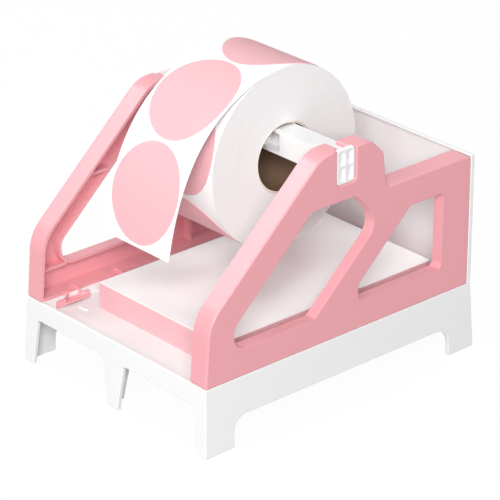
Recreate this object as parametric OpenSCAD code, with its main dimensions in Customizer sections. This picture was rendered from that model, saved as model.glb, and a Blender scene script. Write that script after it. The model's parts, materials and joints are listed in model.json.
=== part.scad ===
/* [Holder] */
// Width across the outer faces of the two side frames
holder_w = 149; // [140:1:180]
// Depth of a side frame, front edge to rear edge
frame_d = 190.2; // [180:0.2:230]
// Height of the base, floor to the foot of the side frames
base_h = 38.8; // [32:0.2:60]
// How far the skirt spreads at the floor, all round
skirt_flare = 1.8; // [0:0.2:5]

/* [Base tray] */
// Thickness of the skirt walls
skirt_t = 2.4; // [1.6:0.1:4]
// Thickness of the tray floor
floor_t = 2.4; // [1.6:0.1:4]
// Depth of the tray floor below the foot of the side frames
tray_depth = 5.2; // [4.2:0.1:7]
// Thickness of the front lip
lip_t = 2; // [1.2:0.1:4]
// Height of the arches in the front and rear skirts
front_arch_h = 27.5; // [15:0.5:29]
// Corner radius of the arches in the front and rear skirts
front_arch_r = 2.5; // [1:0.5:6]
// Width of a corner foot at the top of its arch
foot_w = 9.6; // [8:0.2:16]
// Width of a corner foot at the floor
foot_tip_w = 7.5; // [5:0.5:14]
// Width of the middle leg at the top of its arches
leg_w = 17; // [12:0.5:24]
// Width of the middle leg at the floor
leg_tip_w = 8; // [5:0.5:14]
// Depth of the rib behind a middle leg
leg_rib_d = 12.5; // [5:0.5:14]
// Height of the arch in each side skirt
side_arch_h = 17; // [10:0.5:28]
// Corner radius of the arch in each side skirt
side_arch_r = 9; // [3:0.5:10]
// Length of the front foot of a side skirt
side_foot_front = 18; // [14:0.5:40]
// Length of the rear foot of a side skirt
side_foot_rear = 17.5; // [14:0.5:40]

/* [Side frames] */
// Depth of the flange round a side frame
frame_t = 12.3; // [10:0.1:14]
// Depth of the rims round its windows
rim_t = 7; // [5:0.5:9]
// Wall thickness of the mouldings
frame_wall = 1.8; // [1.2:0.1:2.5]
// Height of the rear bar above the base
rear_h = 76.8; // [70:0.2:84]
// Height of the frame in front of the spindle slot
nose_h = 107.2; // [104:0.2:112]
// Height of the frame behind the spindle slot
hump_h = 106.6; // [105:0.2:116]
// Height of the spindle slot's floor above the base
slot_z = 87; // [86:0.5:92]
// Distance of the spindle from the front of the frame
spindle_y = 97.4; // [94:0.2:102]
// Angle of the front strut and of the diagonal brace
strut_angle = 42.5; // [40:0.5:45]
// Height at which the front edge turns back into the strut
bend_z = 36.6; // [32:0.2:40]
// How far the front edge leans back at that height
bend_lean = 3; // [0:0.2:6]
// Width of the front strut
strut_w = 16.6; // [12:0.2:18]
// Height of the bottom bar
bar_h = 16; // [12:0.2:19]
// Width of the frame in front of the front window
front_post_w = 19.3; // [16:0.1:24]
// Height of the bar under the spindle slot
crown_h = 8.6; // [6:0.2:12]
// Front edge of the diagonal brace at the bottom bar
brace_y = 75.8; // [70:0.2:80]
// Width of the diagonal brace
brace_w = 13.6; // [11:0.2:16]
// Front edge of the rear window
rear_window_y = 107; // [102:0.5:112]
// Width of the rear post
post_w = 20.8; // [14:0.2:26]
// Height of the rear bar
rear_bar_h = 16; // [12:0.2:20]
// Foot of the hump behind the spindle slot
hump_foot_y = 126.8; // [124:0.2:130]

/* [Floor keys] */
// Number of keys on each side frame
key_count = 2; // [1:1:3]
// Distance between keys
key_pitch = 30.5; // [28:0.5:34]
// Front tip of the first key
key_y = 7; // [6:0.2:10]
// Length of a key
key_l = 23.2; // [22:0.2:26]
// How far a key reaches in over the tray floor
key_reach = 5.1; // [4.5:0.1:7]
// Height of a key
key_h = 3.6; // [2.4:0.1:4]
// Thickness of the walls on a key
key_rim = 0.9; // [0.7:0.1:1.2]

/* [Rear wall] */
// Depth of the rear wall
rear_t = 2.6; // [2.4:0.1:8]
// Thickness of its panel and rim
rear_wall_t = 1.3; // [1:0.1:2]
// Width of a rear wall tab
tab_w = 20; // [10:1:30]
// Distance of a tab from the middle
tab_x = 36; // [20:1:45]

/* [Spindle] */
// Width of an end plate
plate_w = 12.9; // [11:0.1:14]
// Height of an end plate
plate_h = 20; // [18:0.1:22]
// Thickness of an end plate
plate_t = 2.2; // [1.9:0.1:3]
// How far an end plate lies inside the frame's outer face
plate_inset = 0.6; // [0:0.1:2]
// Width of the bar
beam_w = 13; // [11:0.1:14]
// Height of the bar
beam_h = 14; // [11:0.1:15]
// Drop of the bar's top below the top of an end plate
beam_drop = 2.4; // [1:0.1:4]
// Thickness of the bar's web, flanges and ribs
beam_wall = 2; // [1.5:0.1:3]
// Length of the ribbed middle of the bar
beam_ribbed_l = 63; // [50:1:80]
// Number of pockets along the ribbed middle
beam_pockets = 4; // [2:1:8]
// Width of the neck behind an end plate, in the throat of the slot
neck_w = 6; // [5:0.1:9]

/* [Label roll] */
// Outside diameter of the roll
roll_d = 102; // [80:1:104]
// Width of the roll
roll_w = 54; // [40:1:58]
// Bore of the card core
core_bore = 38.1; // [36:0.1:42]
// Wall of the card core
core_t = 1; // [0.6:0.1:2]
// Width of a label, across the liner
label_w = 50.8; // [30:0.2:51]
// Length of a label, along the liner
label_l = 55.6; // [30:0.2:56]
// Distance between labels along the liner
label_pitch = 58.4; // [57:0.2:62]
// Thickness of a label
label_t = 0.3; // [0.2:0.05:0.5]
// Angle of the top label, from the rear over the top
top_label_angle = 73; // [68:0.5:74]
// Angle of the label under the hanging liner
front_label_angle = 166; // [162:0.5:170]

/* [Hanging liner] */
// Thickness of the liner
liner_t = 0.6; // [0.4:0.1:1]
// Angle at which the liner leaves the roll
leave_angle = 103; // [102:0.5:108]
// How far the liner runs on before it bends down
liner_run = 49; // [40:1:60]
// How far the liner hangs straight above its cut end
liner_hang = 38; // [25:1:45]
// Lean of the cut end
liner_lean = 10; // [4:0.5:14]
// Distance of the cut end from the front of the frame
liner_end_y = 16.3; // [12:0.1:24]
// Height of the cut end above the base
liner_end_z = 50.6; // [40:0.1:60]

/* [Fan-fold stack] */
// Width of a leaf
leaf_w = 99.2; // [80:0.2:102]
// Length of a leaf
leaf_l = 154; // [120:0.5:156]
// Height of the stack
stack_h = 15; // [6:0.2:20]
// Thickness of the top leaf
leaf_t = 0.5; // [0.3:0.1:1]
// How far the stack lies behind the middle of its room in the tray
stack_shift = -0.1; // [-6:0.1:6]
// Gap between the stack and the keys of the right side frame
stack_gap = 2.8; // [0.3:0.1:6]

/* [Clearances] */
// Gap beside a spindle end plate and its neck in the slot
slot_gap = 0.3; // [0.2:0.05:0.6]
// Gap between the bar and the core that hangs on it
hang_gap = 0.3; // [0.2:0.05:0.6]
// Gap between the roll's labels and the hanging liner
liner_gap = 0.4; // [0.3:0.05:1]
// Gap round the keys and tabs, and at the ends of the bar
seat_gap = 0.3; // [0.2:0.05:0.6]

/* [Hidden] */
$fn = 64;

frame_pink = "#eba6ad";
label_pink = "#fbc2ca";
stack_pink = "#f4bcc2";
moulding_white = "#f2f2f2";
paper_white = "#f6f5f4";
card_brown = "#8c7458";

arc_steps = 6;
cut = 1;
edge_r = 1.5;
half_w = holder_w / 2;
ledge_x = half_w - frame_t;
top_d = frame_d + rear_t;
front_y = -top_d / 2;

// Axis of the spindle and of the roll that hangs on it, above the base
slot_w = plate_w + 2 * slot_gap;
slot_front = spindle_y - slot_w / 2;
slot_rear = spindle_y + slot_w / 2;
throat_front = spindle_y - neck_w / 2 - slot_gap;
throat_rear = spindle_y + neck_w / 2 + slot_gap;
plate_top = slot_z + plate_h;
beam_top = plate_top - beam_drop;
bore_r = core_bore / 2;
roll_z = beam_top + hang_gap - sqrt(pow(bore_r, 2) - pow(beam_w / 2, 2));
roll_r = roll_d / 2;
roll_skin_gap = 0.05;

// Unit vector and corner helpers for outlines written as [y, z, radius]
function unit(v) = v / norm(v);
function at(list, i) = list[(i + len(list)) % len(list)];
function spot(p) = [p[0], p[1]];
function left_of(a, b) = [-(b[1] - a[1]), b[0] - a[0]] / norm(b - a);
function turn(a, b, c) = (b[0] - a[0]) * (c[1] - b[1]) - (b[1] - a[1]) * (c[0] - b[0]);
function bend(d) = d > 180 ? d - 360 : d < -180 ? d + 360 : d;

// Points of the arc that rounds corner b between a and c
function corner(a, b, c, r) =
    let (
        u = unit(a - b),
        v = unit(c - b),
        half = acos(u * v) / 2,
        mid = b + unit(u + v) * r / sin(half),
        p = b + u * r / tan(half) - mid,
        q = b + v * r / tan(half) - mid,
        from = atan2(p[1], p[0]),
        sweep = bend(atan2(q[1], q[0]) - from)
    )
    [for (i = [0:arc_steps]) mid + r * [cos(from + sweep * i / arc_steps), sin(from + sweep * i / arc_steps)]];

function rounded(list) =
    [for (i = [0:len(list) - 1])
        each corner(spot(at(list, i - 1)), spot(list[i]), spot(at(list, i + 1)), list[i][2])];

// The same outline moved inwards by d, with its corner radii kept concentric
function moved_in(list, d) =
    [for (i = [0:len(list) - 1])
        let (
            a = spot(at(list, i - 1)),
            b = spot(list[i]),
            c = spot(at(list, i + 1)),
            n = left_of(a, b),
            m = left_of(b, c),
            p = b + d * (n + m) / (1 + n * m),
            r = list[i][2] + (turn(a, b, c) > 0 ? -d : d)
        )
        [p[0], p[1], max(r, 0.2)]];

// Where the line through p at angle a meets the line through q at angle b
function meet(p, a, q, b) =
    let (t = ((q[0] - p[0]) * sin(b) - (q[1] - p[1]) * cos(b)) / sin(b - a))
    p + t * [cos(a), sin(a)];
function with_r(p, r) = [p[0], p[1], r];
// A point moved square to the struts, towards the rear and down
function across(p, d) = p + d * [sin(strut_angle), -cos(strut_angle)];

// Corner radii of the side frame and its windows
corner_r = 3;
shoulder_r = 7;
crest_r = 9;
nose_r = 18;
bend_r = 22;
window_front_r = 8;
window_brace_r = 11;
window_top_r = 6;
window_foot_r = 4;

// Side frame outlines
level = 0;
upright = 90;
hump_slope = -45;
hump_back = 98;
window_back = -49.4;
window_back_reach = 7.4;
crest_reach = 10.8;
window_back_y = spindle_y + window_back_reach;
hump_crest_y = slot_rear + crest_reach;
strut_start = [bend_lean, bend_z];
strut_inner = across(strut_start, strut_w);
brace_start = [brace_y, bar_h];
brace_rear = across(brace_start, brace_w);
window_top = slot_z - crown_h;
rear_window_top = rear_h - rear_bar_h;

frame_outline = [
    [0, 0, edge_r],
    [frame_d, 0, edge_r],
    [frame_d, rear_h, corner_r],
    [hump_foot_y, rear_h, corner_r],
    with_r(meet([hump_foot_y, rear_h], hump_back, [hump_crest_y, hump_h], hump_slope), shoulder_r),
    [hump_crest_y, hump_h, crest_r],
    [throat_rear, hump_h, edge_r],
    [throat_rear, slot_z, edge_r],
    [throat_front, slot_z, edge_r],
    [throat_front, nose_h, edge_r],
    with_r(meet(strut_start, strut_angle, [0, nose_h], level), nose_r),
    with_r(strut_start, bend_r)
];

front_window = [
    [front_post_w, bar_h, window_front_r],
    with_r(brace_start, corner_r),
    with_r(meet(brace_start, strut_angle, [window_back_y, window_top], window_back), window_brace_r),
    [window_back_y, window_top, window_top_r],
    with_r(meet(strut_inner, strut_angle, [0, window_top], level), window_top_r),
    with_r(meet(strut_inner, strut_angle, [front_post_w, 0], upright), window_front_r)
];

rear_window = [
    [rear_window_y, bar_h, window_foot_r],
    [frame_d - post_w, bar_h, corner_r],
    [frame_d - post_w, rear_window_top, corner_r],
    with_r(meet(brace_rear, strut_angle, [0, rear_window_top], level), corner_r),
    with_r(meet(brace_rear, strut_angle, [rear_window_y, 0], upright), corner_r)
];

// Puts an outline drawn in y and z into place, with its thickness along x
module slab(x, t) {
    translate([x, front_y, base_h]) rotate([90, 0, 90]) linear_extrude(t) children();
}

// A box from one corner to the other, in the base's own y and z
module block(low, high) {
    translate([low[0], low[1] + front_y, low[2] + base_h]) cube(high - low);
}

// Key that reaches in over the tray floor, as an outline in x and y: a neck with a horn at each end
key_front_l = 6.1;
key_front_w = 1;
key_rear_w = 2;
key_root = 10;
key_root_l = 9.3;
key_front_r = 3;
key_rear_r = 0.6;
key_tip_r = 0.45;
key_plate_t = 1.2;
key_root_x = ledge_x - seat_gap;
key_near_x = ledge_x - key_reach;
neck_run = frame_t / 2;
function key_outline(y) = [
    [key_root_x, y + key_root, key_tip_r],
    [key_root_x, y + key_root + key_root_l, key_tip_r],
    [key_near_x + key_rear_w, y + key_root + key_root_l, key_rear_r],
    [key_near_x + key_rear_w, y + key_l, key_tip_r],
    [key_near_x, y + key_l, key_tip_r],
    [key_near_x, y, key_tip_r],
    [key_near_x + key_front_w, y, key_tip_r],
    [key_near_x + key_front_w, y + key_front_l, key_front_r]
];

// Slope of a neck's front wall, and where its inner face lies at a given x
neck_slope = (key_root - key_front_l) / (key_root_x - key_near_x - key_front_w);
function neck_front(y, x) = y + key_root + key_rim * sqrt(1 + pow(neck_slope, 2)) + (x - key_root_x) * neck_slope;
function neck_rear(y) = y + key_root + key_root_l - key_rim;

// Hollow of a key, open towards the tray and, along its neck, towards the side frame
function key_hollow(y) = [
    [key_root_x + cut, neck_front(y, key_root_x + cut)],
    [key_root_x + cut, neck_rear(y)],
    [key_near_x + key_rear_w - key_rim, neck_rear(y)],
    [key_near_x + key_rear_w - key_rim, y + key_l - key_rim],
    [key_near_x - cut, y + key_l - key_rim],
    [key_near_x - cut, neck_front(y, key_near_x - cut)]
];

// Plate over the tray floor with a wall round it, and the neck's two walls running on into the side frame
module floor_key(y) {
    translate([0, front_y, base_h - key_h]) {
        linear_extrude(key_plate_t) polygon(rounded(key_outline(y)));
        linear_extrude(key_h) difference() {
            polygon(rounded(key_outline(y)));
            polygon(key_hollow(y));
        }
    }
    for (w = [neck_front(y, key_root_x) - key_rim, neck_rear(y)]) {
        block([key_root_x - key_rim, w, -key_plate_t], [key_root_x, w + key_rim, frame_wall]);
        block([key_root_x - key_rim, w, 0], [ledge_x + neck_run, w + key_rim, frame_wall]);
    }
}

// Channel cut for a key's neck in the bottom flange of the side frame
module neck_channel(y) {
    block([ledge_x - cut, neck_front(y, key_root_x), frame_wall / 3],
        [ledge_x + neck_run, neck_rear(y), frame_wall + cut]);
}

// Wide outer part of the spindle slot, which takes an end plate, grown by a wall
module recess_outline(wall) {
    r = plate_corner + slot_gap + wall;
    recess_top = max(nose_h, hump_h) + 2 * cut;
    polygon(rounded([
        [slot_front - wall, slot_z - wall, r],
        [slot_rear + wall, slot_z - wall, r],
        [slot_rear + wall, recess_top, cut],
        [slot_front - wall, recess_top, cut]
    ]));
}

// Ribs inside the channel of a side frame
bar_rib_set = 3.6;
strut_rib_rise = 25;
bar_rib_y = rear_window_y + bar_rib_set;
strut_rib_z = bend_z + strut_rib_rise;
rib_sink = 0.2;
function on_strut(start, z) = start[0] + (z - start[1]) / tan(strut_angle);

module frame_ribs() {
    rib_in = half_w - rim_t;
    rib_out = half_w - frame_wall + rib_sink;
    strut_rib_top = strut_rib_z + frame_wall;
    block([rib_in, frame_wall, bar_h - frame_wall], [rib_out, front_post_w + 2 * edge_r, bar_h]);
    block([rib_in, bar_rib_y, frame_wall - rib_sink], [rib_out, bar_rib_y + frame_wall, bar_h - rib_sink]);
    block([rib_in, on_strut(strut_start, strut_rib_top) + rib_sink, strut_rib_z],
        [rib_out, on_strut(strut_inner, strut_rib_z) - rib_sink, strut_rib_top]);
}

module side_frame() {
    outline = rounded(frame_outline);
    recess_x = plate_outer - plate_t - slot_gap;
    difference() {
        union() {
            slab(half_w - frame_wall, frame_wall) difference() {
                polygon(outline);
                polygon(rounded(front_window));
                polygon(rounded(rear_window));
            }
            slab(half_w - frame_t, frame_t) difference() {
                polygon(outline);
                polygon(rounded(moved_in(frame_outline, frame_wall)));
            }
            slab(recess_x - frame_wall, half_w - recess_x + frame_wall) intersection() {
                polygon(outline);
                recess_outline(frame_wall);
            }
        }
        slab(recess_x, half_w - recess_x + cut) recess_outline(0);
        for (i = [0:key_count - 1])
            neck_channel(key_y + i * key_pitch);
    }
    for (window = [front_window, rear_window])
        slab(half_w - rim_t, rim_t) difference() {
            polygon(rounded(moved_in(window, -frame_wall)));
            polygon(rounded(window));
        }
    frame_ribs();
    for (i = [0:key_count - 1])
        floor_key(key_y + i * key_pitch);
}

module right_side_frame() {
    color(frame_pink) side_frame();
}

module left_side_frame() {
    color(frame_pink) mirror([1, 0, 0]) side_frame();
}

// Block with flared sides, inset by t, from the floor up to z
module skirt_block(t, z) {
    wide = half_w + skirt_flare - t;
    slope = skirt_flare / base_h;
    intersection() {
        translate([0, front_y + top_d + skirt_flare + cut, 0]) rotate([90, 0, 0])
            linear_extrude(top_d + 2 * (skirt_flare + cut))
                polygon([[-wide, 0], [wide, 0], [wide - slope * z, z], [-wide + slope * z, z]]);
        translate([-half_w - skirt_flare - cut, front_y, 0]) rotate([90, 0, 90])
            linear_extrude(2 * (half_w + skirt_flare + cut))
                polygon([[t - skirt_flare, 0], [top_d + skirt_flare - t, 0],
                    [top_d + skirt_flare - t - slope * z, z], [t - skirt_flare + slope * z, z]]);
    }
}

// Arch from a to b at the floor, narrowing by the shifts given, with rounded top corners
function arch(a, b, shift_a, shift_b, h, r) = [
    [a - shift_a, -cut, 0.1],
    [b + shift_b, -cut, 0.1],
    [b, h, r],
    [a, h, r]
];

module front_arches(y, t) {
    inner = leg_w / 2;
    outer = half_w - foot_w;
    foot_shift = foot_w - foot_tip_w + skirt_flare;
    leg_shift = (leg_w - leg_tip_w) / 2;
    for (side = [0, 1]) mirror([side, 0, 0])
        translate([0, y + t, 0]) rotate([90, 0, 0]) linear_extrude(t)
            polygon(rounded(arch(inner, outer, leg_shift, foot_shift, front_arch_h, front_arch_r)));
}

module side_arches() {
    translate([-half_w - skirt_flare - cut, front_y, 0]) rotate([90, 0, 90])
        linear_extrude(2 * (half_w + skirt_flare + cut))
            polygon(rounded(arch(side_foot_front, top_d - side_foot_rear, 0, 0, side_arch_h, side_arch_r)));
}

tray_rear_y = frame_d - lip_t;
hollow_h = base_h - tray_depth - floor_t;
arch_cut_d = skirt_t + skirt_flare + 2 * cut;
rib_t = 2;
tab_t = 1.2;
tab_h = 7;
latch_x = 50.3;
latch_y = 19.6;
latch_w = 7;
latch_t = 1.6;

// Rib behind a middle leg, tapering towards the floor
module leg_rib(y, way) {
    lift = front_arch_h / 8;
    translate([-rib_t / 2, y, 0]) rotate([90, 0, 90]) linear_extrude(rib_t)
        polygon([[0, lift], [way * leg_rib_d * 0.5, lift], [way * leg_rib_d, front_arch_h],
            [way * leg_rib_d, hollow_h + floor_t / 2], [0, hollow_h + floor_t / 2]]);
}

module base_tray() {
    color(moulding_white) {
        difference() {
            skirt_block(0, base_h);
            difference() {
                translate([0, 0, -cut]) skirt_block(skirt_t, hollow_h + cut);
                leg_rib(front_y - skirt_flare + skirt_t / 2, 1);
                leg_rib(front_y + top_d + skirt_flare - skirt_t / 2, -1);
            }
            block([-ledge_x, lip_t, -tray_depth], [ledge_x, tray_rear_y, cut]);
            front_arches(front_y - skirt_flare - cut, arch_cut_d);
            front_arches(front_y + top_d + skirt_flare + cut - arch_cut_d, arch_cut_d);
            side_arches();
            for (x = [-tab_x, tab_x])
                block([x - tab_w / 2 - seat_gap, frame_d - seat_gap, -tab_h - tray_depth],
                    [x + tab_w / 2 + seat_gap, frame_d + tab_t + seat_gap, cut]);
        }
        for (side = [-1, 1])
            translate([side * latch_x, front_y + latch_y, base_h - tray_depth])
                cube([latch_w, latch_t, latch_t], center = true);
    }
}

module rear_wall() {
    color(moulding_white) {
        difference() {
            block([-half_w, frame_d, 0], [half_w, top_d, rear_h]);
            block([-half_w + rear_wall_t, frame_d - cut, rear_wall_t],
                [half_w - rear_wall_t, top_d - rear_wall_t, rear_h - rear_wall_t]);
        }
        for (x = [-tab_x, tab_x])
            block([x - tab_w / 2, frame_d, -tab_h], [x + tab_w / 2, frame_d + tab_t, rear_wall_t]);
    }
}

// Spindle
beam_end = ledge_x - seat_gap;
plate_outer = half_w - plate_inset;
plate_corner = 2;
pocket_d = 1.5;
pocket_rim = 1.5;
pocket_rib = 1.2;

module plate_outline(inset) {
    w = plate_w / 2 - inset;
    r = max(plate_corner - inset, 0.4);
    polygon(rounded([
        [spindle_y - w, slot_z + inset, r],
        [spindle_y + w, slot_z + inset, r],
        [spindle_y + w, plate_top - inset, r],
        [spindle_y - w, plate_top - inset, r]
    ]));
}

// End plate with four shallow pockets in its outer face
module end_plate() {
    difference() {
        slab(plate_outer - plate_t, plate_t) plate_outline(0);
        difference() {
            slab(plate_outer - pocket_d, pocket_d + cut) plate_outline(pocket_rim);
            block([0, spindle_y - pocket_rib / 2, slot_z], [half_w, spindle_y + pocket_rib / 2, plate_top]);
            block([0, spindle_y - plate_w, slot_z + (plate_h - pocket_rib) / 2],
                [half_w, spindle_y + plate_w, slot_z + (plate_h + pocket_rib) / 2]);
        }
    }
    block([beam_end - cut, spindle_y - neck_w / 2, beam_top - beam_h + beam_wall],
        [plate_outer - (plate_t + pocket_d) / 2, spindle_y + neck_w / 2, beam_top]);
}

module spindle_bar() {
    pocket_l = (beam_ribbed_l - (beam_pockets + 1) * beam_wall) / beam_pockets;
    side_d = (beam_w - beam_wall) / 2;
    color(moulding_white) {
        difference() {
            block([-beam_end, spindle_y - beam_w / 2, beam_top - beam_h],
                [beam_end, spindle_y + beam_w / 2, beam_top]);
            for (i = [0:beam_pockets - 1], side = [-1, 1]) {
                x = -beam_ribbed_l / 2 + beam_wall + i * (pocket_l + beam_wall);
                y = spindle_y + side * (beam_wall + side_d + cut) / 2;
                block([x, y - (side_d + cut) / 2, beam_top - beam_h + beam_wall],
                    [x + pocket_l, y + (side_d + cut) / 2, beam_top - beam_wall]);
            }
        }
        end_plate();
        mirror([1, 0, 0]) end_plate();
    }
}

// Ring about the roll's axis
module ring(outer, inner, w) {
    translate([-w / 2, front_y + spindle_y, base_h + roll_z]) rotate([0, 90, 0]) difference() {
        cylinder(h = w, r = outer, $fn = 128);
        translate([0, 0, -cut]) cylinder(h = w + 2 * cut, r = inner, $fn = 128);
    }
}

module roll_core() {
    color(card_brown) ring(bore_r + core_t, bore_r, roll_w);
}

module label_roll() {
    color(paper_white) ring(roll_r, bore_r + core_t + roll_skin_gap, roll_w);
}

// Rounded label of a given length, as an outline
label_steps = 72;
module label_outline(l) {
    polygon([for (i = [0:label_steps - 1])
        [label_w / 2 * cos(i * 360 / label_steps), l / 2 * sin(i * 360 / label_steps)]]);
}

// Label bent over the roll, at an angle from the rear over the top
module roll_label(angle) {
    chord = 2 * roll_r * sin(label_l / roll_d * 180 / PI);
    color(label_pink) intersection() {
        ring(roll_r + roll_skin_gap + label_t, roll_r + roll_skin_gap, roll_w);
        translate([0, front_y + spindle_y, base_h + roll_z]) rotate([angle - 90, 0, 0])
            linear_extrude(roll_d) label_outline(chord);
    }
}

// Spaces between labels from the top one back round the roll to the front one, as many as its skin has room for
skin_arc = 360 - (front_label_angle - top_label_angle);
label_spaces = floor(skin_arc * PI / 180 * roll_r / label_pitch);
label_step = skin_arc / label_spaces;
module roll_label_top() { roll_label(top_label_angle); }
module roll_label_rear() { roll_label(top_label_angle - label_step); }
module roll_labels_under() {
    for (i = [2:label_spaces - 1])
        roll_label(top_label_angle - i * label_step);
}
module roll_label_front() { roll_label(front_label_angle); }

// Hanging liner: a curve from the roll's skin to the cut end
liner_steps = 24;
liner_r = roll_r + roll_skin_gap + label_t + liner_gap;
liner_from = [spindle_y + liner_r * cos(leave_angle), roll_z + liner_r * sin(leave_angle)];
liner_via = liner_from + liner_run * [-sin(leave_angle), cos(leave_angle)];
liner_to = [liner_end_y, liner_end_z];
liner_above = liner_to + liner_hang * [sin(liner_lean), cos(liner_lean)];
function liner_at(t) =
    pow(1 - t, 3) * liner_from + 3 * pow(1 - t, 2) * t * liner_via
    + 3 * (1 - t) * pow(t, 2) * liner_above + pow(t, 3) * liner_to;
function liner_heading(t) =
    unit(pow(1 - t, 2) * (liner_via - liner_from) + 2 * (1 - t) * t * (liner_above - liner_via)
        + pow(t, 2) * (liner_to - liner_above));
// The side of the liner that carries the labels
function liner_out(t) = let (h = liner_heading(t)) [h[1], -h[0]];
function liner_side(d) =
    [for (i = [0:liner_steps]) liner_at(i / liner_steps) + d * liner_out(i / liner_steps)];
function backwards(list) = [for (i = [len(list) - 1:-1:0]) list[i]];
function liner_run_to(i) =
    i == 0 ? 0 : liner_run_to(i - 1) + norm(liner_at(i / liner_steps) - liner_at((i - 1) / liner_steps));
liner_table = [for (i = [0:liner_steps]) [liner_run_to(i), i / liner_steps]];

// Strip between two distances from the liner's inner face
module liner_strip(from, to) {
    slab(-roll_w / 2, roll_w) polygon(concat(liner_side(from), backwards(liner_side(to))));
}

module leader_web() {
    color(paper_white) liner_strip(0, liner_t);
}

// Label on the hanging liner, the given number of pitches on from the top label
module leader_label(count) {
    along = (top_label_angle - leave_angle) * PI / 180 * liner_r + count * label_pitch;
    t = lookup(along, liner_table);
    p = liner_at(t);
    out = liner_out(t);
    color(label_pink) intersection() {
        liner_strip(liner_t, liner_t + label_t);
        translate([0, front_y + p[0], base_h + p[1]])
            rotate([atan2(out[1], out[0]) - 90, 0, 0])
                translate([0, 0, -label_l / 2]) linear_extrude(label_l) label_outline(label_l);
    }
}

module leader_label_upper() { leader_label(1); }
module leader_label_lower() { leader_label(2); }

// Fan-fold stack, beside the keys of the right side frame, in the room between the front catches and the rear lip
stack_right = ledge_x - key_reach - stack_gap;
stack_y = (latch_y + latch_t / 2 + tray_rear_y - leaf_l) / 2 + stack_shift;
module leaves(z, h) {
    block([stack_right - leaf_w, stack_y, z], [stack_right, stack_y + leaf_l, z + h]);
}

module fanfold_stack() {
    color(stack_pink) leaves(-tray_depth, stack_h);
}

module fanfold_top_leaf() {
    color(paper_white) leaves(stack_h - tray_depth, leaf_t);
}

base_tray();
left_side_frame();
right_side_frame();
rear_wall();
spindle_bar();
roll_core();
label_roll();
roll_label_top();
roll_label_rear();
roll_labels_under();
roll_label_front();
leader_web();
leader_label_upper();
leader_label_lower();
fanfold_stack();
fanfold_top_leaf();
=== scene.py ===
"""Finishes a desk-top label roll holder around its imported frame.

The file is laid out as a Blender add-on and is run as a script.
"""

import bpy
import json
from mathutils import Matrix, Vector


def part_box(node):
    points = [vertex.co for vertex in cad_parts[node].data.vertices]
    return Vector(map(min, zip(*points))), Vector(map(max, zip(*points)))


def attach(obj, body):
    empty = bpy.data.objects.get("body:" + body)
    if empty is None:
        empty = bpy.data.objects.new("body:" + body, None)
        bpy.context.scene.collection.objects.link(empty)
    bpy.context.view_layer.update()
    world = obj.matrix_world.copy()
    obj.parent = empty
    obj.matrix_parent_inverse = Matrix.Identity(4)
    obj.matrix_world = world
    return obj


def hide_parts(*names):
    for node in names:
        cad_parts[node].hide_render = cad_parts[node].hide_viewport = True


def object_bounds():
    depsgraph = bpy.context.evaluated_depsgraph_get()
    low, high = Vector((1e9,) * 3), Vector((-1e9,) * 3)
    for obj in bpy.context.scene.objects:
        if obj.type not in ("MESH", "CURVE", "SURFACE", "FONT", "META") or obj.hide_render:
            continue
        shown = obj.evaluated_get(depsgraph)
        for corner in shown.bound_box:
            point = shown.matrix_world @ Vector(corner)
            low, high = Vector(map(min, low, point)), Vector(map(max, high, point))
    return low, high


bl_info = {
    "name": "Label roll holder",
    "version": (1, 0, 0),
    "blender": (4, 5, 0),
    "location": "3D View > Sidebar > Label holder",
    "description": "Finishes the mouldings, label roll and fan-fold stack of a label holder",
    "category": "Object",
}

import json
import math

import bmesh
import bpy
from bpy.props import FloatProperty, FloatVectorProperty, IntProperty, PointerProperty
from bpy.types import Operator, Panel, PropertyGroup
from mathutils import Vector

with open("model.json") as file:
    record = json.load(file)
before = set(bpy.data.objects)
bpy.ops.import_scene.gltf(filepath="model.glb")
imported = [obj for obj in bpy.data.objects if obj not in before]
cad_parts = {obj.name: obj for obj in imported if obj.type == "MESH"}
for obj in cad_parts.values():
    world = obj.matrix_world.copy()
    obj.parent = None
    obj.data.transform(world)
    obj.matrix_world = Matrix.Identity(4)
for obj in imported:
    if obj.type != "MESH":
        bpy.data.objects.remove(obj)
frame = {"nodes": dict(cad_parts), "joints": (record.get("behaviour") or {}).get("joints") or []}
CAD_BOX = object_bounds()

# Distances within which places count as one, in metres
MERGE = 1e-6
TINY = 1e-5
CUT_REACH = 1e-8

# Angles past which faces are kept apart, edges are rounded and shading is broken
FLAT_ANGLE = math.radians(0.5)
CORNER_ANGLE = math.radians(50)
SMOOTH_ANGLE = math.radians(32)

# How finely round and bent pieces are divided
ROUND_STEPS = 160
ROLL_TURNS = 60
LABEL_SEGMENTS = 96
LABEL_CUTS = 32
LINER_STEPS = 240
LINER_CUTS = 80

# Height and pace of the two waves in which the turns of the roll lie at its sides
FINE_WAVE, FINE_PACE = 0.3, 2.4
SLOW_WAVE, SLOW_PACE = 0.2, 0.37

# Half a leaf's thickness and its crease, as shares of its height in the stack
LEAF_HALF = 0.46
LEAF_CREASE = 0.25
FOLD_PACE = 2.1
LEAF_CORNER = 0.0008
LEAF_SEGMENTS = 4

# Largest sideways lean of a normal on the roll's skin, and least upright one on a level leaf
SKIN_LEAN = 0.5
LEVEL = 0.99

# Finish of the paper
PAPER_ROUGHNESS = 0.62
PAPER_ROUGHNESS_SPREAD = 0.06
PAPER_SPECULAR = 0.2
LINER_FIBRE = 0.012
LABEL_FIBRE = 0.015

# Range in which most values of a noise lie
NOISE_LOW, NOISE_HIGH = 0.3, 0.7

# Sockets of a node that mixes two colours
MIX_FACTOR, MIX_FIRST, MIX_SECOND, MIX_RESULT = 0, 6, 7, 2

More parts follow.
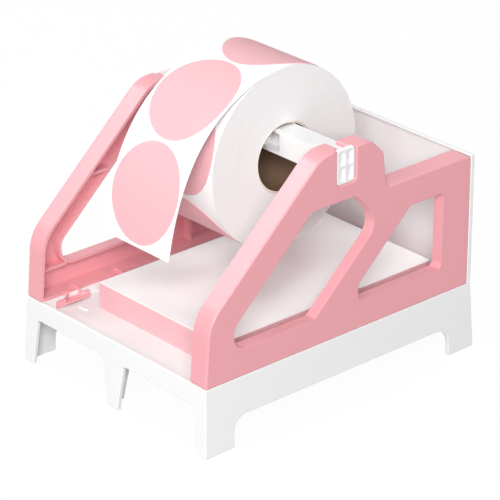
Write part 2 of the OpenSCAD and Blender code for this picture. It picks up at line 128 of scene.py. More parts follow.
# Camera's sensor in millimetres, the floor, and each lamp's size and place in metres
SENSOR_WIDTH = 36
FLOOR_REACH = 4
FLOOR_GREY = 0.35
FLOOR_ROUGHNESS = 0.9
FLOOR_GLOW = 1.07
FLOOR_GLOW_SHARE = 0.9
LAMPS = {
    "key": (1.35, (2.1, -1.95, 1.75)),
    "front": (0.9, (0.6, -1.6, 0.6)),
    "left": (0.5, (-1.06, -0.54, 1.3)),
    "top": (0.9, (0.0, 0.1, 1.8)),
}


def linear(red, green, blue):
    """A colour written as 0 to 255 on screen, as the linear values that a shader takes."""
    shares = [value / 255 for value in (red, green, blue)]
    return [s / 12.92 if s <= 0.04045 else ((s + 0.055) / 1.055) ** 2.4 for s in shares]


def joint_place(name):
    """Where a joint of the frame lies, in metres."""
    return Vector(next(j["pos_m"] for j in frame["joints"] if j["name"] == name))


def node_middle(node):
    """Mean place of a CAD node's vertices."""
    vertices = frame["nodes"][node].data.vertices
    return sum((v.co for v in vertices), Vector()) / len(vertices)


ROLL_AXIS = joint_place("roll_spin")
ROLL_LOW, ROLL_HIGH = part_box("label_roll")
CORE_LOW, CORE_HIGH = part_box("roll_core")
WEB_LOW, WEB_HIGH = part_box("leader_web")
STACK_LOW, STACK_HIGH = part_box("fanfold_stack")
LEAF_LOW, LEAF_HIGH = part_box("fanfold_top_leaf")
ROLL_RADIUS = (ROLL_HIGH.z - ROLL_LOW.z) / 2
CORE_RADIUS = (CORE_HIGH.z - CORE_LOW.z) / 2


def length(name, about, size):
    """A size in metres that a user may change."""
    return FloatProperty(
        name=name, description=about, default=size, min=0, unit="LENGTH", precision=5
    )


def angle(name, about, degrees):
    """An angle that a user may change, given in degrees."""
    return FloatProperty(
        name=name, description=about, default=math.radians(degrees), unit="ROTATION"
    )


def power(name, about, watts):
    """A lamp's power that a user may change."""
    return FloatProperty(name=name, description=about, default=watts, unit="POWER")


def colour(name, about, red, green, blue):
    """A colour that a user may change, given as 0 to 255 on screen."""
    return FloatVectorProperty(
        name=name, description=about, default=linear(red, green, blue),
        min=0, max=1, subtype="COLOR",
    )


class HolderEdges(PropertyGroup):
    """How far the edges of the mouldings are rounded."""

    frame_outer: length("Frame edge", "Rounding round the outside of a side frame", 0.0014)
    frame_window: length("Window edge", "Rounding round a window of a side frame", 0.0007)
    base: length("Base edge", "Rounding of the base tray's edges", 0.0005)
    wall: length("Wall edge", "Rounding of the rear wall's edges", 0.0004)
    spindle: length("Spindle edge", "Rounding of the spindle's edges", 0.0004)
    plate: length("Plate edge", "Rounding round the spindle's end plates", 0.0008)
    segments: IntProperty(
        name="Segments", description="Facets across a rounded edge", default=4, min=1
    )


class HolderPaper(PropertyGroup):
    """Sizes of the paper pieces."""

    core_bore: length("Core bore", "Inside diameter of the card core", 0.0381)
    core_edge: length("Core edge", "Rounding of the card core's ends", 0.0003)
    roll_ripple: length("Roll ripple", "How unevenly the roll's turns lie at its sides", 0.00012)
    label_width: length("Label width", "Width of a label across the liner", 0.0508)
    label_length: length("Label length", "Length of a label along the liner", 0.0556)
    label_thickness: length("Label thickness", "Thickness of a label", 0.0003)
    liner_thickness: length("Liner thickness", "Thickness of the hanging liner", 0.00025)
    liner_stand_off: length(
        "Liner stand-off", "Gap between the roll and its hanging liner", 0.00036
    )
    liner_start: length("Liner start", "How far along its curve the hanging liner starts", 0.0019)
    leave_angle: angle(
        "Leave angle", "Where the liner leaves the roll, from the rear over the top", 103
    )
    liner_run: length("Liner run", "How far the liner runs on before it bends down", 0.049)
    liner_hang: length("Liner hang", "How far the liner hangs straight above its cut end", 0.038)
    liner_lean: angle("Liner lean", "Lean of the liner's cut end", 10)
    liner_end_y: FloatProperty(
        name="Liner end", description="Place of the cut end along the depth",
        default=-0.0801, unit="LENGTH",
    )
    liner_end_z: length("Liner end height", "Height of the liner's cut end", 0.0894)
    leaf_count: IntProperty(
        name="Leaves", description="Leaves of the fan-fold stack", default=90, min=2
    )
    fold_spread: length("Fold spread", "How unevenly the folds of the stack line up", 0.00008)


class HolderColours(PropertyGroup):
    """Colours of the finishes."""

    pink_moulding: colour("Pink moulding", "Plastic of the side frames", 233, 162, 169)
    white_moulding: colour("White moulding", "Plastic of the tray, wall and spindle", 238, 238, 238)
    label: colour("Label", "Face of the round labels", 234, 181, 187)
    liner: colour("Liner", "Face of the liner", 248, 248, 248)
    wound: colour("Wound liner", "Edges of the liner at the sides of the roll", 240, 240, 240)
    leaf: colour("Leaf", "Level faces of the fan-fold leaves", 251, 251, 251)
    stack: colour("Stack", "Edges of the fan-fold leaves", 232, 177, 183)
    card: colour("Card", "Inside of the card core", 128, 104, 84)
    card_end: colour("Card end", "Cut ends of the card core", 238, 228, 212)


class HolderStage(PropertyGroup):
    """Camera and light."""

    lens: FloatProperty(
        name="Lens", description="Focal length of the camera in millimetres", default=203.9
    )
    place: FloatVectorProperty(
        name="Camera place",
        description="Where the camera stands",
        default=(1.0440, -0.9297, 0.7161),
        subtype="TRANSLATION",
    )
    azimuth: angle("Azimuth", "Turn of the camera round the holder, from the front", 48.31)
    elevation: angle("Elevation", "Height of the camera above the horizon", 25.06)
    sky: FloatProperty(
        name="Sky", description="Strength of the even light all round", default=0.14
    )
    key: power("Key light", "Power of the lamp behind the camera", 101)
    front: power("Front light", "Power of the lamp in front", 7.5)
    left: power("Left light", "Power of the lamp at the left", 7)
    top: power("Top light", "Power of the lamp above", 7)


class Finish:
    """A material in the making, with short ways to add its nodes."""

    def __init__(self, name, roughness):
        self.material = bpy.data.materials.new(name)
        self.material.use_nodes = True
        self.tree = self.material.node_tree
        self.shader = self.tree.nodes["Principled BSDF"]
        self.shader.inputs["Roughness"].default_value = roughness
        self.place = self.add("ShaderNodeTexCoord").outputs["Object"]

    def add(self, kind, **settings):
        """A new node with its settings."""
        node = self.tree.nodes.new(kind)
        for name, value in settings.items():
            setattr(node, name, value)
        return node

    def put(self, value, socket):
        """Links a socket, or sets a plain value."""
        if isinstance(value, bpy.types.NodeSocket):
            self.tree.links.new(value, socket)
        else:
            socket.default_value = value

    def math(self, operation, *values):
        """A sum on numbers."""
        node = self.add("ShaderNodeMath", operation=operation)
        for value, socket in zip(values, node.inputs):
            self.put(value, socket)
        return node.outputs[0]

    def blend(self, first, first_share, second, second_share):
        """Two patterns in one, each by its share."""
        part = self.math("MULTIPLY", second, second_share)
        return self.math("MULTIPLY_ADD", first, first_share, part)

    def stretched(self, scale, offset=(0, 0, 0)):
        """Object coordinates, moved and then scaled along each axis."""
        moved = self.add("ShaderNodeVectorMath", operation="SUBTRACT")
        self.put(self.place, moved.inputs[0])
        self.put(offset, moved.inputs[1])
        scaled = self.add("ShaderNodeVectorMath", operation="MULTIPLY")
        self.put(moved.outputs[0], scaled.inputs[0])
        self.put(scale, scaled.inputs[1])
        return scaled.outputs[0]

    def noise(self, scale, detail=2.0, vector=None):
        """Soft random marks, with a scale in marks to the metre."""
        node = self.add("ShaderNodeTexNoise")
        self.put(vector or self.place, node.inputs["Vector"])
        self.put(scale, node.inputs["Scale"])
        self.put(detail, node.inputs["Detail"])
        return node.outputs["Fac"]

    def lines(self, along, scale, detail=1.0):
        """Random lines square to a coordinate."""
        node = self.add("ShaderNodeTexNoise", noise_dimensions="1D")
        self.put(along, node.inputs["W"])
        self.put(scale, node.inputs["Scale"])
        self.put(detail, node.inputs["Detail"])
        return node.outputs["Fac"]

    def tint(self, base, spread, factor):
        """Base colour that varies by a share of itself."""
        node = self.add("ShaderNodeMix", data_type="RGBA")
        self.put(factor, node.inputs[MIX_FACTOR])
        self.put([*[c * (1 - spread) for c in base], 1], node.inputs[MIX_FIRST])
        self.put([*[min(c * (1 + spread), 1) for c in base], 1], node.inputs[MIX_SECOND])
        self.put(node.outputs[MIX_RESULT], self.shader.inputs["Base Color"])

    def gloss(self, low, high, factor):
        """Roughness that varies between two values."""
        node = self.add("ShaderNodeMapRange")
        self.put(factor, node.inputs["Value"])
        self.put(NOISE_LOW, node.inputs["From Min"])
        self.put(NOISE_HIGH, node.inputs["From Max"])
        self.put(low, node.inputs["To Min"])
        self.put(high, node.inputs["To Max"])
        self.put(node.outputs["Result"], self.shader.inputs["Roughness"])

    def relief(self, height, depth, strength):
        """Fine relief of a given depth in metres."""
        node = self.add("ShaderNodeBump")
        self.put(height, node.inputs["Height"])
        self.put(depth, node.inputs["Distance"])
        self.put(strength, node.inputs["Strength"])
        self.put(node.outputs["Normal"], self.shader.inputs["Normal"])


def moulded_plastic(name, base):
    """Satin plastic with a fine spark-eroded grain and faint flow marks."""
    finish = Finish(name, roughness=0.32)
    finish.tint(base, spread=0.02, factor=finish.noise(scale=14, detail=3))
    finish.gloss(low=0.28, high=0.36, factor=finish.noise(scale=260))
    finish.relief(finish.noise(scale=1500, detail=3), depth=0.00004, strength=0.25)
    return finish.material


def paper(name, base, fibre):
    """Paper with fibres and a faint cloudiness."""
    finish = Finish(name, PAPER_ROUGHNESS)
    finish.put(PAPER_SPECULAR, finish.shader.inputs["Specular IOR Level"])
    finish.tint(base, spread=fibre, factor=finish.noise(scale=90, detail=5))
    finish.gloss(
        low=PAPER_ROUGHNESS - PAPER_ROUGHNESS_SPREAD,
        high=PAPER_ROUGHNESS + PAPER_ROUGHNESS_SPREAD,
        factor=finish.noise(scale=420),
    )
    finish.relief(finish.noise(scale=900, detail=4), depth=0.00003, strength=0.2)
    return finish.material


def wound_paper(name, base):
    """Edges of many turns of liner round the roll's axis."""
    finish = Finish(name, roughness=0.7)
    flat = finish.add("ShaderNodeVectorMath", operation="LENGTH")
    finish.put(finish.stretched((0, 1, 1), ROLL_AXIS), flat.inputs[0])
    radius = flat.outputs["Value"]
    turns = finish.lines(radius, scale=2600, detail=2)
    bands = finish.lines(radius, scale=180, detail=2)
    finish.tint(base, spread=0.03, factor=finish.blend(turns, 0.5, bands, 0.5))
    finish.relief(turns, depth=0.00005, strength=0.3)
    return finish.material


def stacked_paper(name, base, leaf_height):
    """Edges of folded leaves, each a little lighter or darker than the next."""
    finish = Finish(name, roughness=0.72)
    parts = finish.add("ShaderNodeSeparateXYZ")
    finish.put(finish.place, parts.inputs[0])
    leaves = finish.lines(parts.outputs["Z"], scale=1 / leaf_height, detail=1)
    fibres = finish.noise(scale=260, detail=4)
    finish.tint(base, spread=0.05, factor=finish.blend(leaves, 0.7, fibres, 0.3))
    grain = finish.noise(scale=800, detail=3, vector=finish.stretched((1, 1, 4)))
    finish.relief(grain, depth=0.00004, strength=0.25)
    return finish.material


def wound_card(name, base, roughness):
    """Card with fibres along its turns."""
    finish = Finish(name, roughness)
    finish.put(PAPER_SPECULAR, finish.shader.inputs["Specular IOR Level"])
    fibres = finish.noise(scale=240, detail=6, vector=finish.stretched((3, 1, 1), ROLL_AXIS))
    finish.tint(base, spread=0.1, factor=fibres)
    finish.relief(finish.noise(scale=1100, detail=4), depth=0.00006, strength=0.35)
    return finish.material


def finished(name, bm, material, body, slot, *nodes):
    """Makes a bmesh a piece, faces outwards, that rides on a body and stands for CAD nodes."""
    if bm.calc_volume(signed=True) < 0:
        bmesh.ops.reverse_faces(bm, faces=bm.faces)
    mesh = bpy.data.meshes.new(name)
    bm.to_mesh(mesh)
    bm.free()
    mesh.shade_smooth()
    mesh.set_sharp_from_angle(angle=SMOOTH_ANGLE)
    mesh.materials.append(material)
    piece = bpy.data.objects.new(name, mesh)
    bpy.context.scene.collection.objects.link(piece)
    weighted = piece.modifiers.new("Weighted normals", "WEIGHTED_NORMAL")
    weighted.keep_sharp = True
    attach(piece, body)
    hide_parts(*nodes)
    return piece


def merged_copy(node):
    """A copy of a CAD node with its triangles merged into whole faces."""
    bm = bmesh.new()
    bm.from_mesh(frame["nodes"][node].data)
    bmesh.ops.remove_doubles(bm, verts=bm.verts, dist=MERGE)
    bmesh.ops.dissolve_limit(bm, angle_limit=FLAT_ANGLE, verts=bm.verts, edges=bm.edges)
    return bm


def sharp_edges(bm):
    """Edges that stand out from the faces beside them."""
    return [
        e for e in bm.edges
        if e.is_manifold and e.is_convex and e.calc_face_angle() > CORNER_ANGLE
    ]


def at_x(edge, x):
    """Whether an edge lies in the plane at a distance x from the middle, on either side."""
    return all(abs(abs(v.co.x) - x) < TINY for v in edge.verts)


def joined_runs(edges):
    """Edges sorted into runs that hang together, the longest first."""
    left = set(edges)
    runs = []
    while left:
        run = [left.pop()]
        for edge in run:
            beside = {e for v in edge.verts for e in v.link_edges} & left
            left -= beside
            run.extend(beside)
        runs.append(run)
    return sorted(runs, key=lambda run: -sum(e.calc_length() for e in run))


def round_edges(bm, edges, radius, segments):
    """Rounds edges with an even radius."""
    bmesh.ops.bevel(
        bm, geom=edges, offset=radius, offset_type="OFFSET", affect="EDGES", segments=segments,
        profile=0.5, material=-1, clamp_overlap=True,
    )


def cut_across(bm, low, high, count):
    """Cuts a flat shape across, so that it can bend along y."""
    for i in range(1, count):
        bmesh.ops.bisect_plane(
            bm, geom=[*bm.verts, *bm.edges, *bm.faces], dist=CUT_REACH,
            plane_co=(0, low + (high - low) * i / count, 0), plane_no=(0, 1, 0),
        )


def thicken(bm, thickness):
    """Gives a flat shape in x and y a thickness along z."""
    made = bmesh.ops.extrude_face_region(bm, geom=bm.faces[:])["geom"]
    tops = [v for v in made if isinstance(v, bmesh.types.BMVert)]
    bmesh.ops.translate(bm, verts=tops, vec=(0, 0, thickness))
    bmesh.ops.recalc_face_normals(bm, faces=bm.faces)


def wrap(bm, path):
    """Bends a flat shape along a path in the y, z plane: y runs along it and z stands off it."""
    for v in bm.verts:
        place, out = path(v.co.y)
        y, z = place + out * v.co.z
        v.co = (v.co.x, y, z)
    bmesh.ops.recalc_face_normals(bm, faces=bm.faces)


def flat_oval(width, long, thickness):
    """A label before it is bent."""
    bm = bmesh.new()
    bmesh.ops.create_circle(bm, cap_ends=True, segments=LABEL_SEGMENTS, radius=1)
    bmesh.ops.scale(bm, verts=bm.verts, vec=(width / 2, long / 2, 1))
    cut_across(bm, -long / 2, long / 2, LABEL_CUTS)
    thicken(bm, thickness)
    return bm


class LABELHOLDER_OT_stage(Operator):
    """Sets up the camera, the pale floor and the soft light"""

    bl_idname = "label_holder.stage"
    bl_label = "Stage"

    def execute(self, context):
        stage = context.scene.holder_stage
        self.camera(context, stage)
        self.floor()
        self.sky(context, stage)
        middle = (CAD_BOX[0] + CAD_BOX[1]) / 2
        for name, (size, place) in LAMPS.items():
            self.lamp(f"{name}_lamp", getattr(stage, name), size, Vector(place), middle)
        context.scene.view_settings.view_transform = "Standard"
        return {"FINISHED"}

    def camera(self, context, stage):
        """Sets the camera at the photograph's place."""
        data = bpy.data.cameras.new("photo_camera")
        data.lens = stage.lens
        data.sensor_width = SENSOR_WIDTH
        camera = bpy.data.objects.new("photo_camera", data)
        a, e = stage.azimuth, stage.elevation
        back = Vector((math.sin(a) * math.cos(e), -math.cos(a) * math.cos(e), math.sin(e)))
        camera.location = stage.place
        camera.rotation_euler = (-back).to_track_quat("-Z", "Y").to_euler()
        context.scene.collection.objects.link(camera)
        context.scene.camera = camera

    def seen_directly(self, tree):
        """1 for rays from the camera and for those off gloss or through glass, else 0."""
        rays = tree.nodes.new("ShaderNodeLightPath").outputs
        total = rays["Is Camera Ray"]
        for name in ("Is Glossy Ray", "Is Transmission Ray"):
            either = tree.nodes.new("ShaderNodeMath")
            either.operation = "MAXIMUM"
            tree.links.new(total, either.inputs[0])
            tree.links.new(rays[name], either.inputs[1])
            total = either.outputs[0]
        return total

    def floor(self):
        """Lays a floor that looks almost white and still takes the holder's shadow."""
        bm = bmesh.new()
        bmesh.ops.create_grid(bm, x_segments=1, y_segments=1, size=FLOOR_REACH)
        mesh = bpy.data.meshes.new("floor")
        bm.to_mesh(mesh)
        bm.free()
        floor = bpy.data.objects.new("floor", mesh)
        bpy.context.scene.collection.objects.link(floor)
        material = bpy.data.materials.new("pale_floor")
        material.use_nodes = True
        tree = material.node_tree
        plain = tree.nodes["Principled BSDF"]
        plain.inputs["Base Color"].default_value = (FLOOR_GREY, FLOOR_GREY, FLOOR_GREY, 1)
        plain.inputs["Roughness"].default_value = FLOOR_ROUGHNESS
        bright = tree.nodes.new("ShaderNodeEmission")
        bright.inputs["Strength"].default_value = FLOOR_GLOW
        share = tree.nodes.new("ShaderNodeMath")
        share.operation = "MULTIPLY"
        share.inputs[1].default_value = FLOOR_GLOW_SHARE
        mixed = tree.nodes.new("ShaderNodeMixShader")
        tree.links.new(self.seen_directly(tree), share.inputs[0])
        tree.links.new(share.outputs[0], mixed.inputs[0])
        tree.links.new(plain.outputs[0], mixed.inputs[1])
        tree.links.new(bright.outputs[0], mixed.inputs[2])
        tree.links.new(mixed.outputs[0], tree.nodes["Material Output"].inputs["Surface"])
        mesh.materials.append(material)

    def sky(self, context, stage):
        """Gives an even light all round, behind a white backdrop."""
        world = bpy.data.worlds.new("studio")
        world.use_nodes = True
        tree = world.node_tree
        light = tree.nodes["Background"]
        light.inputs["Color"].default_value = (1, 1, 1, 1)
        light.inputs["Strength"].default_value = stage.sky
        backdrop = tree.nodes.new("ShaderNodeBackground")
        backdrop.inputs["Color"].default_value = (1, 1, 1, 1)
        mixed = tree.nodes.new("ShaderNodeMixShader")
        tree.links.new(self.seen_directly(tree), mixed.inputs[0])
        tree.links.new(light.outputs[0], mixed.inputs[1])
        tree.links.new(backdrop.outputs[0], mixed.inputs[2])
        tree.links.new(mixed.outputs[0], tree.nodes["World Output"].inputs["Surface"])
        context.scene.world = world

    def lamp(self, name, power, size, place, target):
        """Stands a square lamp at a place and points it at a target."""
        data = bpy.data.lights.new(name, "AREA")
        data.energy = power
        data.shape = "SQUARE"
        data.size = size
        lamp = bpy.data.objects.new(name, data)
        lamp.location = place
        lamp.rotation_euler = (target - place).to_track_quat("-Z", "Y").to_euler()
        bpy.context.scene.collection.objects.link(lamp)


class LABELHOLDER_OT_base(Operator):
    """Rounds and finishes the base tray"""

    bl_idname = "label_holder.base"
    bl_label = "Base tray"

    def execute(self, context):
        edges = context.scene.holder_edges
        plastic = moulded_plastic("white_plastic", context.scene.holder_colours.white_moulding)
        bm = merged_copy("base_tray")
        round_edges(bm, sharp_edges(bm), edges.base, edges.segments)
        finished("moulded_base", bm, plastic, "holder", "white_moulding", "base_tray")
        return {"FINISHED"}


class LABELHOLDER_OT_side_frames(Operator):
    """Rounds and finishes the two side frames"""

    bl_idname = "label_holder.side_frames"
    bl_label = "Side frames"

    def execute(self, context):
        edges = context.scene.holder_edges
        plastic = moulded_plastic("pink_plastic", context.scene.holder_colours.pink_moulding)
        for side in ("left", "right"):
            node = f"{side}_side_frame"
            bm = merged_copy(node)
            outer_x = max(abs(v.co.x) for v in bm.verts)
            outline, *windows = joined_runs([e for e in sharp_edges(bm) if at_x(e, outer_x)])
            round_edges(bm, outline, edges.frame_outer, edges.segments)
            windows = [e for run in windows for e in run if e.is_valid]
            round_edges(bm, windows, edges.frame_window, edges.segments)
            finished(f"moulded_{side}_frame", bm, plastic, "holder", "pink_moulding", node)
        return {"FINISHED"}


class LABELHOLDER_OT_rear_wall(Operator):
    """Rounds and finishes the rear wall"""

    bl_idname = "label_holder.rear_wall"
    bl_label = "Rear wall"

    def execute(self, context):
        edges = context.scene.holder_edges
        plastic = bpy.data.materials["white_plastic"]
        bm = merged_copy("rear_wall")
        round_edges(bm, sharp_edges(bm), edges.wall, edges.segments)
        finished("moulded_wall", bm, plastic, "holder", "white_moulding", "rear_wall")
        return {"FINISHED"}


class LABELHOLDER_OT_spindle(Operator):
    """Rounds and finishes the spindle bar"""

    bl_idname = "label_holder.spindle"
    bl_label = "Spindle bar"

    def execute(self, context):
        edges = context.scene.holder_edges
        plastic = bpy.data.materials["white_plastic"]
        bm = merged_copy("spindle_bar")
        outer_x = max(abs(v.co.x) for v in bm.verts)
        left, right = joined_runs([e for e in sharp_edges(bm) if at_x(e, outer_x)])[:2]
        round_edges(bm, left + right, edges.plate, edges.segments)
        round_edges(bm, sharp_edges(bm), edges.spindle, edges.segments)
        finished("moulded_spindle", bm, plastic, "spindle", "white_moulding", "spindle_bar")
        return {"FINISHED"}


class LABELHOLDER_OT_roll(Operator):
    """Winds the roll on its card core"""

    bl_idname = "label_holder.roll"
    bl_label = "Label roll"

    def execute(self, context):
        paper_sizes = context.scene.holder_paper
        colours = context.scene.holder_colours
        half = (CORE_HIGH.x - CORE_LOW.x) / 2
        bore = paper_sizes.core_bore / 2
        edge = paper_sizes.core_edge
        card = self.turned([
            (half, bore + edge), (half, CORE_RADIUS - edge), (half - edge, CORE_RADIUS),
            (edge - half, CORE_RADIUS), (-half, CORE_RADIUS - edge), (-half, bore + edge),
            (edge - half, bore), (half - edge, bore),
        ])
        for face in card.faces:
            face.material_index = int(abs(face.calc_center_median().x) > half - edge)
        card_finish = wound_card("brown_card", colours.card, roughness=0.82)
        core = finished("card_core", card, card_finish, "roll", "core_card", "roll_core")
        core.data.materials.append(wound_card("card_end", colours.card_end, roughness=0.75))
        wound = self.turned(self.wound_outline(paper_sizes.roll_ripple))
        wound.normal_update()
        for face in wound.faces:
            face.material_index = int(abs(face.normal.x) < SKIN_LEAN)
        wound_finish = wound_paper("wound_liner", colours.wound)
        roll = finished("wound_roll", wound, wound_finish, "roll", "liner_paper", "label_roll")
        roll.data.materials.append(paper("liner_sheet", colours.liner, LINER_FIBRE))
        return {"FINISHED"}

    def wound_outline(self, ripple):
        """Outline of the roll from its core to its skin, with turns that lie a little unevenly."""
        half = (ROLL_HIGH.x - ROLL_LOW.x) / 2
        inner = CORE_RADIUS + ripple
        side = []
        for i in range(ROLL_TURNS + 1):
            share = i / ROLL_TURNS
            uneven = 0.5 + FINE_WAVE * math.sin(i * FINE_PACE) + SLOW_WAVE * math.sin(i * SLOW_PACE)
            side.append((half - ripple * uneven, inner + (ROLL_RADIUS - inner) * share))
        return side + [(-x, r) for x, r in reversed(side)]

    def turned(self, outline):
        """Spins an outline of x and radius round the roll's axis."""
        bm = bmesh.new()
        points = [bm.verts.new(ROLL_AXIS + Vector((x, 0, r))) for x, r in outline]
        ring = [bm.edges.new((a, b)) for a, b in zip(points, points[1:] + points[:1])]
        bmesh.ops.spin(
            bm, geom=points + ring, cent=ROLL_AXIS, axis=(1, 0, 0),
            angle=math.tau, steps=ROUND_STEPS, use_merge=True,
        )
        bmesh.ops.remove_doubles(bm, verts=bm.verts, dist=MERGE)
        bmesh.ops.recalc_face_normals(bm, faces=bm.faces)
        return bm


class LABELHOLDER_OT_roll_labels(Operator):
    """Lays the labels on the roll's outer turn"""

    bl_idname = "label_holder.roll_labels"
    bl_label = "Labels on the roll"

    def execute(self, context):
        sizes = context.scene.holder_paper
        face = paper("label_face", context.scene.holder_colours.label, LABEL_FIBRE)
        turns = {place: self.turn_of(f"roll_label_{place}") for place in ("top", "rear", "front")}
        for place, turn in turns.items():
            self.lay(f"{place}_label", turn, sizes, face, f"roll_label_{place}")
        step = turns["top"] - turns["rear"]
        spaces = round((math.tau + turns["top"] - turns["front"]) / step)
        for i in range(2, spaces):
            turn = turns["top"] - i * step
            self.lay(f"under_label_{i - 1}", turn, sizes, face, "roll_labels_under")
        return {"FINISHED"}

    def turn_of(self, node):
        """Angle of a label's middle round the roll's axis, from the rear over the top."""
        away = node_middle(node) - ROLL_AXIS
        return math.atan2(away.z, away.y)

    def lay(self, name, turn, sizes, face, node):
        """Bends a label over the roll's skin at an angle."""
        bm = flat_oval(sizes.label_width, sizes.label_length, sizes.label_thickness)
        wrap(bm, lambda along: self.skin(turn + along / ROLL_RADIUS))
        finished(name, bm, face, "roll", "label_paper", node)

    def skin(self, turn):
        """Place on the roll's skin at an angle, and the way out of it."""
        out = Vector((math.cos(turn), math.sin(turn)))
        return ROLL_AXIS.yz + out * (ROLL_RADIUS + TINY), out


class LABELHOLDER_OT_leader(Operator):
    """Hangs the free end of the liner, with its labels, in front of the roll"""

    bl_idname = "label_holder.leader"
    bl_label = "Hanging liner"

    def execute(self, context):
        sizes = context.scene.holder_paper
        self.measure(sizes)
        start, end = sizes.liner_start, self.run[-1]
        width = WEB_HIGH.x - WEB_LOW.x
        bm = bmesh.new()
        bmesh.ops.create_grid(bm, x_segments=1, y_segments=1, size=0.5)
        bmesh.ops.scale(bm, verts=bm.verts, vec=(width, end - start, 1))
        bmesh.ops.translate(bm, verts=bm.verts, vec=(0, (start + end) / 2, 0))
        cut_across(bm, start, end, LINER_CUTS)
        thicken(bm, sizes.liner_thickness)
        wrap(bm, self.at)
        liner = bpy.data.materials["liner_sheet"]
        web = finished("hanging_liner", bm, liner, "spindle", "liner_paper", "leader_web")
        face = bpy.data.materials["label_face"]
        for place in ("upper", "lower"):
            node = f"leader_label_{place}"
            middle = self.nearest(node_middle(node).yz)
            bm = flat_oval(sizes.label_width, sizes.label_length, sizes.label_thickness)
            bmesh.ops.translate(bm, verts=bm.verts, vec=(0, middle, sizes.liner_thickness))
            wrap(bm, self.at)
            finished(f"{place}_hanging_label", bm, face, "spindle", "label_paper", node)
        return {"FINISHED"}

    def measure(self, sizes):
        """Places along the liner's curve, and how far along it each lies."""
        turn, lean = sizes.leave_angle, sizes.liner_lean
        out = Vector((math.cos(turn), math.sin(turn)))
        onward = Vector((-math.sin(turn), math.cos(turn)))
        upward = Vector((math.sin(lean), math.cos(lean)))
        start = ROLL_AXIS.yz + (ROLL_RADIUS + sizes.liner_stand_off) * out
        via = start + sizes.liner_run * onward
        end = Vector((sizes.liner_end_y, sizes.liner_end_z))
        above = end + sizes.liner_hang * upward
        self.places = []
        self.run = [0.0]
        for i in range(LINER_STEPS + 1):
            t = i / LINER_STEPS
            u = 1 - t
            place = u ** 3 * start + 3 * u * u * t * via + 3 * u * t * t * above + t ** 3 * end
            if self.places:
                self.run.append(self.run[-1] + (place - self.places[-1]).length)
            self.places.append(place)

    def at(self, along):
        """Place on the liner at a distance along it, and the way out on its label side."""
        i = 0
        while i < LINER_STEPS - 1 and self.run[i + 1] < along:
            i += 1
        step = self.places[i + 1] - self.places[i]
        heading = step.normalized()
        place = self.places[i] + heading * (along - self.run[i])
        return place, Vector((heading.y, -heading.x))

    def nearest(self, point):
        """Distance along the liner of the place nearest to a point."""
        return min(zip(self.run, self.places), key=lambda pair: (pair[1] - point).length)[0]


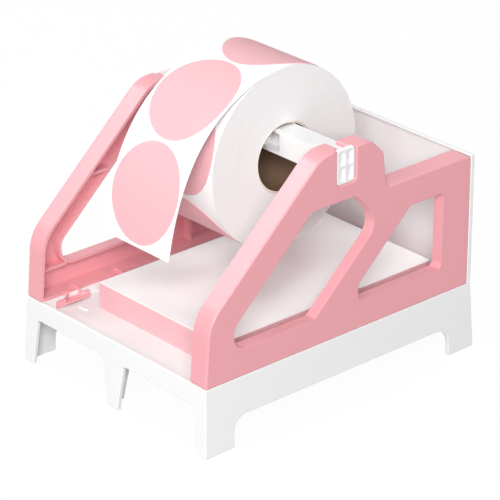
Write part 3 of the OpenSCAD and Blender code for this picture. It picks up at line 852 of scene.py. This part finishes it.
class LABELHOLDER_OT_fanfold(Operator):
    """Folds the stack of leaves and lays the top leaf on it"""

    bl_idname = "label_holder.fanfold"
    bl_label = "Fan-fold stack"

    def execute(self, context):
        sizes = context.scene.holder_paper
        colours = context.scene.holder_colours
        height = (STACK_HIGH.z - STACK_LOW.z) / sizes.leaf_count
        leaf = paper("leaf_face", colours.leaf, LINER_FIBRE)
        bm = self.folded_strip(sizes, height)
        for face in bm.faces:
            face.material_index = int(abs(face.normal.z) > LEVEL)
        edges = stacked_paper("leaf_edges", colours.stack, height)
        stack = finished("folded_leaves", bm, edges, "stack", "stack_paper", "fanfold_stack")
        stack.data.materials.append(leaf)
        bm = bmesh.new()
        bmesh.ops.create_cube(bm, size=1)
        bmesh.ops.scale(bm, verts=bm.verts, vec=LEAF_HIGH - LEAF_LOW)
        bmesh.ops.translate(bm, verts=bm.verts, vec=(LEAF_LOW + LEAF_HIGH) / 2)
        upright = [e for e in bm.edges if abs(e.verts[0].co.z - e.verts[1].co.z) > TINY]
        round_edges(bm, upright, LEAF_CORNER, LEAF_SEGMENTS)
        finished("top_leaf", bm, leaf, "leaf", "liner_paper", "fanfold_top_leaf")
        return {"FINISHED"}

    def folded_strip(self, sizes, height):
        """One long strip folded to and fro, as an outline pulled across the stack."""
        bm = bmesh.new()
        outline = self.folded_outline(sizes, height)
        face = bm.faces.new([bm.verts.new((STACK_LOW.x, y, z)) for y, z in outline])
        made = bmesh.ops.extrude_face_region(bm, geom=[face])["geom"]
        pulled = [v for v in made if isinstance(v, bmesh.types.BMVert)]
        bmesh.ops.translate(bm, verts=pulled, vec=(STACK_HIGH.x - STACK_LOW.x, 0, 0))
        bmesh.ops.recalc_face_normals(bm, faces=bm.faces)
        bm.normal_update()
        return bm

    def folded_outline(self, sizes, height):
        """Outline of the strip in y and z: up along its one side and down along the other."""
        half = LEAF_HALF * height
        crease = LEAF_CREASE * height
        z = STACK_LOW.z + height / 2
        left = [(STACK_LOW.y, z + half)]
        right = [(STACK_LOW.y, z - half)]
        way = 1
        for leaf in range(sizes.leaf_count - 1):
            above = z + height
            uneven = sizes.fold_spread * (0.5 + 0.5 * math.sin(leaf * FOLD_PACE))
            tip = STACK_HIGH.y - uneven if way > 0 else STACK_LOW.y + uneven
            heel = tip - way * crease
            inner = [(heel, z + half), (heel, above - half)]
            outer = [
                (heel, z - half), (tip, z - half + crease),
                (tip, above + half - crease), (heel, above + half),
            ]
            left.extend(inner if way > 0 else outer)
            right.extend(outer if way > 0 else inner)
            z = above
            way = -way
        end = STACK_HIGH.y if way > 0 else STACK_LOW.y
        left.append((end, z + way * half))
        right.append((end, z - way * half))
        return left + right[::-1]


class LABELHOLDER_PT_panel(Panel):
    """Lists the pieces of the holder"""

    bl_idname = "LABELHOLDER_PT_panel"
    bl_label = "Label holder"
    bl_space_type = "VIEW_3D"
    bl_region_type = "UI"
    bl_category = "Label holder"

    def draw(self, context):
        for operator in OPERATORS:
            self.layout.operator(operator.bl_idname)
        for group in GROUPS:
            box = self.layout.box()
            values = getattr(context.scene, group)
            for name in values.bl_rna.properties.keys():
                if name not in ("rna_type", "name"):
                    box.prop(values, name)


OPERATORS = (
    LABELHOLDER_OT_stage,
    LABELHOLDER_OT_base,
    LABELHOLDER_OT_side_frames,
    LABELHOLDER_OT_rear_wall,
    LABELHOLDER_OT_spindle,
    LABELHOLDER_OT_roll,
    LABELHOLDER_OT_roll_labels,
    LABELHOLDER_OT_leader,
    LABELHOLDER_OT_fanfold,
)
GROUPS = {
    "holder_edges": HolderEdges,
    "holder_paper": HolderPaper,
    "holder_colours": HolderColours,
    "holder_stage": HolderStage,
}


def register():
    """Adds the settings, operators and panel to Blender."""
    for cls in (*GROUPS.values(), *OPERATORS, LABELHOLDER_PT_panel):
        bpy.utils.register_class(cls)
    for name, cls in GROUPS.items():
        setattr(bpy.types.Scene, name, PointerProperty(type=cls))


def unregister():
    """Takes them out again."""
    for name in GROUPS:
        delattr(bpy.types.Scene, name)
    for cls in reversed((*GROUPS.values(), *OPERATORS, LABELHOLDER_PT_panel)):
        bpy.utils.unregister_class(cls)


def main():
    """Builds the holder piece by piece."""
    register()
    bpy.ops.label_holder.stage()
    bpy.ops.label_holder.base()
    bpy.ops.label_holder.side_frames()
    bpy.ops.label_holder.rear_wall()
    bpy.ops.label_holder.spindle()
    bpy.ops.label_holder.roll()
    bpy.ops.label_holder.roll_labels()
    bpy.ops.label_holder.leader()
    bpy.ops.label_holder.fanfold()


if __name__ == "__main__":
    main()
